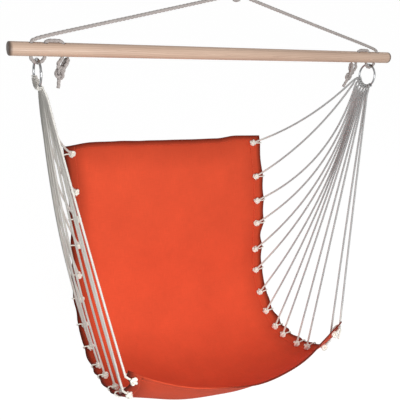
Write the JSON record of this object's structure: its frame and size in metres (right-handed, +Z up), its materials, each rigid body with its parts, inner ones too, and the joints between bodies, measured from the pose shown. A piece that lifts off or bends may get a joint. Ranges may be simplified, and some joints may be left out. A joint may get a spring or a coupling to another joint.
{
  "type": "hammock chair",
  "caption": "Hanging hammock chair: a canvas sling seat laced with knotted cords to steel rings under a wooden spreader bar on a rope.",
  "frame": {"origin": "where the hook bears, at the inner top of the hanging loop", "axes": "+Z up, X along the spreader bar, the sitter faces -Y"},
  "size_m": [1, 0.6012, 1.062],
  "materials": {
    "rope": "twisted cotton rope, matt",
    "cord": "twisted cotton cord, matt",
    "wood": "smooth pale hardwood, satin lacquer",
    "ring_steel": "smooth plated steel",
    "canvas": "plain woven cotton canvas, matt",
    "hem_canvas": "folded and stitched canvas, matt"
  },
  "bodies": {
    "loop": {"hang_loop": "rope"},
    "knot": {"hang_knot": "rope"},
    "spreader": {"spreader_bar": "wood", "left_leg_rope": "rope", "left_bar_lacing": "rope", "left_stopper_knot": "rope", "right_leg_rope": "rope", "right_bar_lacing": "rope", "right_stopper_knot": "rope"},
    "rings": {"left_ring": "ring_steel", "right_ring": "ring_steel"},
    "sling": {"seat_panel": "canvas", "back_top_hem": "hem_canvas", "front_hem": "hem_canvas", "left_side_hem": "hem_canvas", "right_side_hem": "hem_canvas", "left_cord_1": "cord", "left_cord_2": "cord", "left_cord_3": "cord", "left_cord_4": "cord", "left_cord_5": "cord", "left_cord_6": "cord", "left_cord_7": "cord", "right_cord_1": "cord", "right_cord_2": "cord", "right_cord_3": "cord", "right_cord_4": "cord", "right_cord_5": "cord", "right_cord_6": "cord", "right_cord_7": "cord"}
  },
  "joints": [
    {"name": "chair_turn", "type": "hinge", "parent": "loop", "child": "knot", "pos_m": [0, 0, -0.08], "axis": [0, 0, 1], "range_deg": [-90, 90], "stiffness_Nm_per_rad": 0.05},
    {"name": "chair_swing", "type": "hinge", "parent": "knot", "child": "spreader", "pos_m": [0, 0, -0.08], "axis": [1, 0, 0], "range_deg": [-30, 30]},
    {"name": "ring_swing", "type": "hinge", "parent": "spreader", "child": "rings", "pos_m": [0, 0, -0.2398], "axis": [1, 0, 0], "range_deg": [-30, 30]},
    {"name": "sling_rock", "type": "hinge", "parent": "rings", "child": "sling", "pos_m": [0, 0, -0.2613], "axis": [1, 0, 0], "range_deg": [-20, 20]}
  ]
}
